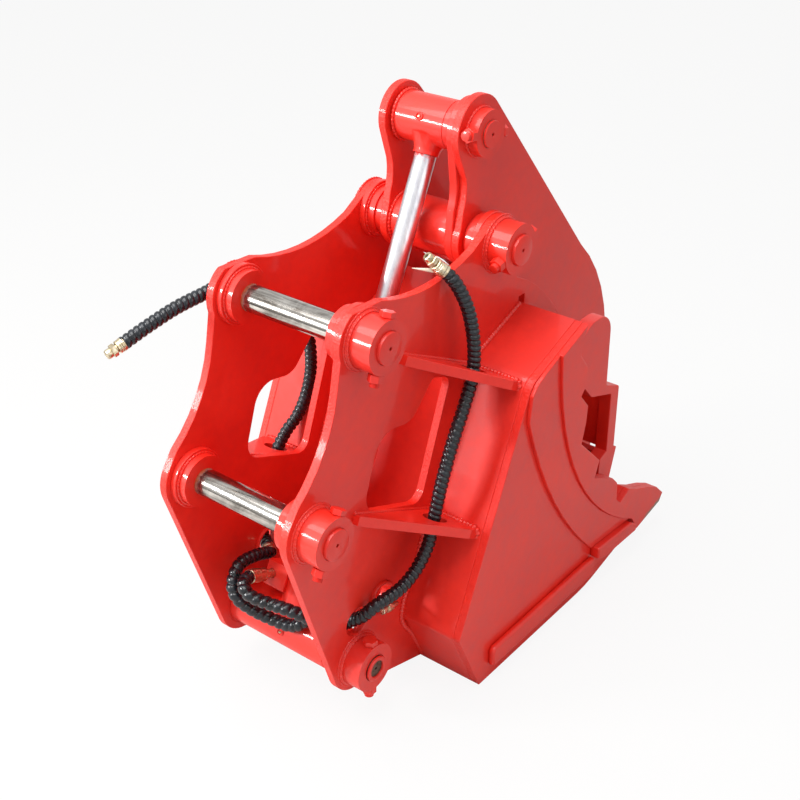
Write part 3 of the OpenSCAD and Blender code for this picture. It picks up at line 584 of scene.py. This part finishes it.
def weldAlong(name, points, bead, body, closed=False):
    route = points if closed else smoothRoute(points, weldBead["step"])

    def rippled(distance, angle):
        phase = 2 * math.pi * distance / weldBead["pitch"] + weldBead["skew"] * math.sin(angle)
        return bead * (1 + weldBead["ripple"] * math.sin(phase))

    return finishPiece(tubeAlong(name, route, rippled, weldBead["sides"], closed), body, "red_enamel")


def weldRing(name, centre, x, radius, bead, body):  # in mm
    n = round(2 * math.pi * radius / (weldBead["step"] * 1000))
    turns = [2 * math.pi * k / n for k in range(n)]
    points = [at(x, centre[0] + radius * math.cos(a), centre[1] + radius * math.sin(a)) for a in turns]
    return weldAlong(name, points, bead / 1000, body, True)


# x, radius and bead in mm of the welds round each pin; the base pin has no boss inside the ears
bossWelds = {"BossWeld": (154, 49, 2.6), "RingWeld": (150, 54, 2.2), "InnerBossWeld": (122, 49, 2.6)}
for name in pinEnds:
    for side, word in bothSides:
        for kind, (x, radius, bead) in bossWelds.items():
            if (name, kind) != ("base", "InnerBossWeld"):
                weldRing(name + kind + word, pinEnds[name][0], side * x, radius, bead, "bucket")
# (y, z) of each brace where it leaves the ear and meets the shell, and of the ear's edge on the shell
braceEnds = {"upperBrace": ((95.2, -65.6), (295.2, -169.6)), "lowerBrace": ((-38.6, -321.7), (177.4, -426.7))}
earEdge = ((157, -764), (123, -692), (90, -622), (140, -511), (190, -401), (240, -291))
lipSlope = {"y": 459, "z": -105.5, "fall": 0.378}
braceFoot, braceTip = (156, 190, 225, 258), ((258, 1), (262, -7), (261, -17))
beadOf = {"brace": 0.0034, "foot": 0.0046, "end": 0.0058, "lip": 0.0052, "ear": 0.0055, "jawPlate": 0.0034}
for side, word in bothSides:
    weldRing("hubWeld" + word, jawPin, side * 66, 51, 3.4, "jaw")
    for name, ((y0, z0), (y1, z1)) in braceEnds.items():
        rows = [at(side * 151, y0 + (y1 - y0) * k / 8, z0 + (z1 - z0) * k / 8 + 0.6) for k in range(9)]
        foot = [at(side * x, y1 - 1, z1 + 1) for x in braceFoot]
        tip = [at(side * x, y1 - 2, z1 + dz) for x, dz in braceTip]
        weldAlong(f"{name}Weld{word}", rows, beadOf["brace"], "bucket")
        weldAlong(f"{name}FootWeld{word}", foot, beadOf["foot"], "bucket")
        weldAlong(f"{name}EndWeld{word}", tip, beadOf["end"], "bucket")
    lip = [at(side * 151.5, y, lipSlope["z"] - (lipSlope["y"] - y) * lipSlope["fall"])
           for y in range(304, 456, 15)]
    weldAlong("lipWeld" + word, lip, beadOf["lip"], "bucket")
    for x, edge in ((151, "Outer"), (133, "Inner")):
        weldAlong(f"earWeld{edge}{word}", [at(side * x, *p) for p in earEdge], beadOf["ear"], "bucket")
weldRing("rodBossWeld", rodPin, 99.5, 44, 3.0, "jaw")
weldRing("rodEyeWeld", rodPin, -61.5, 45.6, 3.0, "rod")
jawArc = ((515, -95), (541, -109), (570, -128), (600, -151), (629, -177), (655, -203), (679, -231))
weldAlong("jawPlateWeld", [at(98.6, *p) for p in jawArc], beadOf["jawPlate"], "jaw")
print("welds laid")


# Bolt tails with their thread: pin centre, x, radius of the boss and lean in degrees from straight down
boltTails = {"upper": (upperPin, 185, 48, 18), "lower": (lowerPin, 185, 48, 28),
             "base": (basePin, 180, 48, 3), "jaw": (jawPin, 182, 48, 75), "rod": (rodPin, 111.5, 43, 100)}
thread = {"crest": 8.6, "root": 7.7, "pitch": 1.8, "from": 13.2, "to": 21, "point": 6.4, "chamfer": 0.8}
halfTurns = round((thread["to"] - thread["from"]) / thread["pitch"] * 2)
threadShape = [(0, thread["from"])]
threadShape += [(thread["crest"] if k % 2 else thread["root"], thread["from"] + k * thread["pitch"] / 2)
                for k in range(halfTurns + 1)]
threadShape += [(r, thread["to"] + thread["chamfer"]) for r in (thread["point"], 0)]
for name, (centre, x, r, tilt) in boltTails.items():
    lean = math.radians(tilt)
    axis = Vector((0, -math.sin(lean), -math.cos(lean)))
    tailPiece = turned(name + "BoltThread", threadShape, at(x, *centre) + axis * r / 1000, axis, 32)
    finishPiece(tailPiece, "jaw" if name == "rod" else "bucket", "red_enamel")

# Grease nipples in the two cylinder eyes, each on a seat inside a raised ring
nippleShape = [(0, 0), (3.4, 0), (3.4, 3.4), (1.8, 4.2), (1.8, 5.6), (2.6, 6.6), (2.6, 7.8),
               (1.5, 9.2), (0, 9.4)]
nippleRing = [(5.6, -2), (7.8, -2), (7.8, 1.8), (7.1, 2.4), (6.1, 2.4), (5.6, 1.9)]
nippleSeat = [(0, -1), (5.8, -1), (5.8, 0.2), (0, 0.2)]
nipplePlaces = {"base": (-2, basePin, 100, "barrel"), "rod": (-4, rodPin, 92, "rod")}
eyeRadius, nippleSink = 0.0445, 0.0055
cylinderLine = (Vector((0, *rodPin)) - Vector((0, *basePin))).normalized()
for name, (x, centre, tilt, body) in nipplePlaces.items():
    axis = Matrix.Rotation(math.radians(tilt), 3, "X") @ cylinderLine
    face = at(x, *centre) + axis * eyeRadius
    finishPiece(turned(name + "GreaseNipple", nippleShape, face - axis * nippleSink, axis, 24), body, "brass")
    finishPiece(turned(name + "NippleSeat", nippleSeat, face, axis, 24), body, "red_enamel")
    finishPiece(turned(name + "NippleRing", nippleRing, face, axis, 32, True), body, "red_enamel")
print("bolt tails and nipples fitted")


# Couplings: one beside the near guide ring, a crimped collar at the far one, and the port fitting's hexagon
coupling = [(0, 0), (6.4, 0), (7.4, 1), (7.4, 10), (5.6, 11), (5.6, 14), (7.3, 15), (7.3, 30), (5.2, 31.5),
            (5.2, 44), (4.2, 46), (0, 46)]
couplingHex = [(6.5, 15.5), (8.2, 15.5), (9.0, 16.3), (9.0, 25.5), (8.2, 26.3), (6.5, 26.3)]
collar = [(12.0, 0), (13.5, 0), (14.2, 0.9), (14.2, 6), (13.3, 7), (14.0, 8), (14.0, 15),
          (13.0, 16.5), (12.0, 16.5)]
portHex = [(8.8, 12.8), (12.2, 12.8), (13.0, 13.8), (13.0, 20.6), (12.2, 21.6), (8.8, 21.6)]
portFerrule = {"rows": 20, "crest": 0.0135, "root": 0.0129, "pitch": 0.007, "land": 0.0052}
place, axis = at(165.2, 14, -562), (0, 0.983, -0.185)
guideCoupling = joined("guideCoupling", [turned("couplingBody", coupling, place, axis),
                                         turned("couplingHex", couplingHex, place, axis, 6, True)])
finishPiece(guideCoupling, "bucket", "brass")
guideCollar = turned("guideCollar", collar, at(-116.8, 13.2, -546), (0.83, -0.55, 0), 48, True)
finishPiece(guideCollar, "bucket", "brass")
portRoute = hosePieces["hose_inner_right"][1][:portFerrule["rows"]]
portSleeve = tubeAlong("portFerrule", portRoute, groovedRadius(portFerrule), 32)
finishPiece(portSleeve, "barrel", "brass")
portNut = turned("portFittingHex", portHex, at(-58, -77, -530), (0, 18, -8.5), 6, True)
finishPiece(portNut, "barrel", "brass")
print("couplings fitted")


# Light: a low window on the left, whose image is the bright bar on each boss, a soft sky, and a weak fill
studio = {"world": 0.43, "backgroundWhite": 1.0, "floorColor": "#cfcdca", "floorRoughness": 0.9,
          "floorGlow": 0.9, "floorSize": 40, "floorZ": -0.0005, "aim": (0, 0, 0.5)}
lamps = {"windowLamp": {"place": (-1.85, -2.65, 1.55), "size": (0.75, 0.46), "power": 84},
         "skyLamp": {"place": (-0.4, -1.2, 3.4), "size": (2.6, 2.6), "power": 138},
         "fillLamp": {"place": (3.0, -0.4, 1.9), "size": (2.2, 2.2), "power": 15.5}}
world = bpy.data.worlds.new("studioWorld")
bpy.context.scene.world = world
world.use_nodes = True
tree = world.node_tree
path = addNode(tree, "ShaderNodeLightPath")
seen = addNode(tree, "ShaderNodeMath", {"operation": "MAXIMUM"},
               {0: path.outputs["Is Camera Ray"], 1: path.outputs["Is Glossy Ray"]})
seenToo = addNode(tree, "ShaderNodeMath", {"operation": "MAXIMUM"},
                  {0: seen.outputs[0], 1: path.outputs["Is Transmission Ray"]})
strength = addNode(tree, "ShaderNodeMapRange", None,
                   {"Value": seenToo.outputs[0], "To Min": studio["world"],
                    "To Max": studio["backgroundWhite"]})
tree.nodes["Background"].inputs["Color"].default_value = (1, 1, 1, 1)
tree.links.new(strength.outputs["Result"], tree.nodes["Background"].inputs["Strength"])
for name, lamp in lamps.items():
    bpy.ops.object.light_add(type="AREA", location=lamp["place"])
    light = bpy.context.object
    light.name = name
    light.data.shape, light.data.size, light.data.size_y = "RECTANGLE", *lamp["size"]
    light.data.energy = lamp["power"]
    light.rotation_euler = (Vector(studio["aim"]) - Vector(lamp["place"])).to_track_quat("-Z", "Y").to_euler()

# A pale matt floor that keeps the shadow and nearly meets the white of the backdrop
deselectAll()
bpy.ops.mesh.primitive_plane_add(size=studio["floorSize"], location=(0, 0, studio["floorZ"]))
floor = bpy.context.object
floor.name = "paleFloor"
material, tree, shader = newMaterial("paleStudioFloor")
shader.inputs["Base Color"].default_value = hexColor(studio["floorColor"])
shader.inputs["Roughness"].default_value = studio["floorRoughness"]
path = addNode(tree, "ShaderNodeLightPath")
glow = addNode(tree, "ShaderNodeEmission", None, {"Color": (1, 1, 1, 1), "Strength": 1.0})
share = addNode(tree, "ShaderNodeMath", {"operation": "MULTIPLY"},
                {0: path.outputs["Is Camera Ray"], 1: studio["floorGlow"]})
mixed = addNode(tree, "ShaderNodeMixShader", None,
                {0: share.outputs[0], 1: shader.outputs[0], 2: glow.outputs[0]})
tree.links.new(mixed.outputs[0], tree.nodes["Material Output"].inputs["Surface"])
floor.data.materials.append(material)
bpy.context.scene.view_settings.view_transform = "Standard"
print("studio set")

deselectAll()
